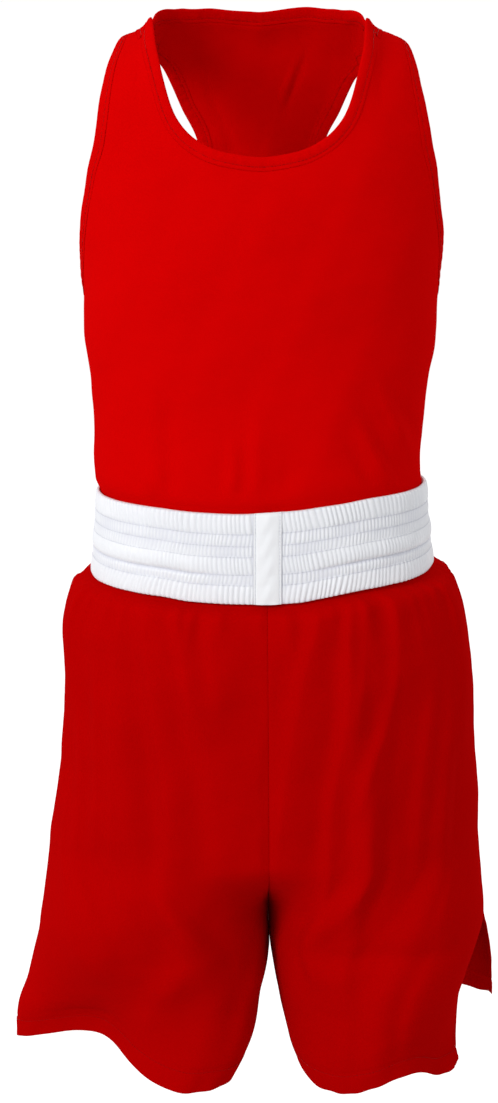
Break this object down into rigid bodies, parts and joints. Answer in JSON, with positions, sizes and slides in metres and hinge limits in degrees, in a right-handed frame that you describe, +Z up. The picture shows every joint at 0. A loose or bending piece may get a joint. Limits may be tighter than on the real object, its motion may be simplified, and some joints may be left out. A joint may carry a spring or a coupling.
{
  "type": "boxing singlet",
  "caption": "Sleeveless boxing suit in worn form: racerback vest, gathered elastic waistband and loose shorts with an open side slit.",
  "frame": {"origin": "on the shoulder line, midway between the two straps, where the wearer's shoulders carry the suit", "axes": "+Z up, the front faces -Y, +X is the wearer's left, the side with the open slit"},
  "size_m": [0.487, 0.243, 0.9935],
  "materials": {
    "vest_cloth": "matt red polyester jersey",
    "edge_binding": "matt red folded self-cloth binding, topstitched",
    "elastic": "white gathered satin over rows of elastic",
    "shorts_cloth": "red polyester with a slight sheen"
  },
  "bodies": {
    "root": {"vest_front": "vest_cloth", "vest_back": "vest_cloth", "neckband": "edge_binding", "armband_left": "edge_binding", "armband_right": "edge_binding", "waistband": "elastic", "waistband_joint": "elastic", "shorts_front_left": "shorts_cloth", "shorts_front_right": "shorts_cloth", "shorts_back_left": "shorts_cloth", "shorts_back_right": "shorts_cloth"}
  },
  "joints": []
}
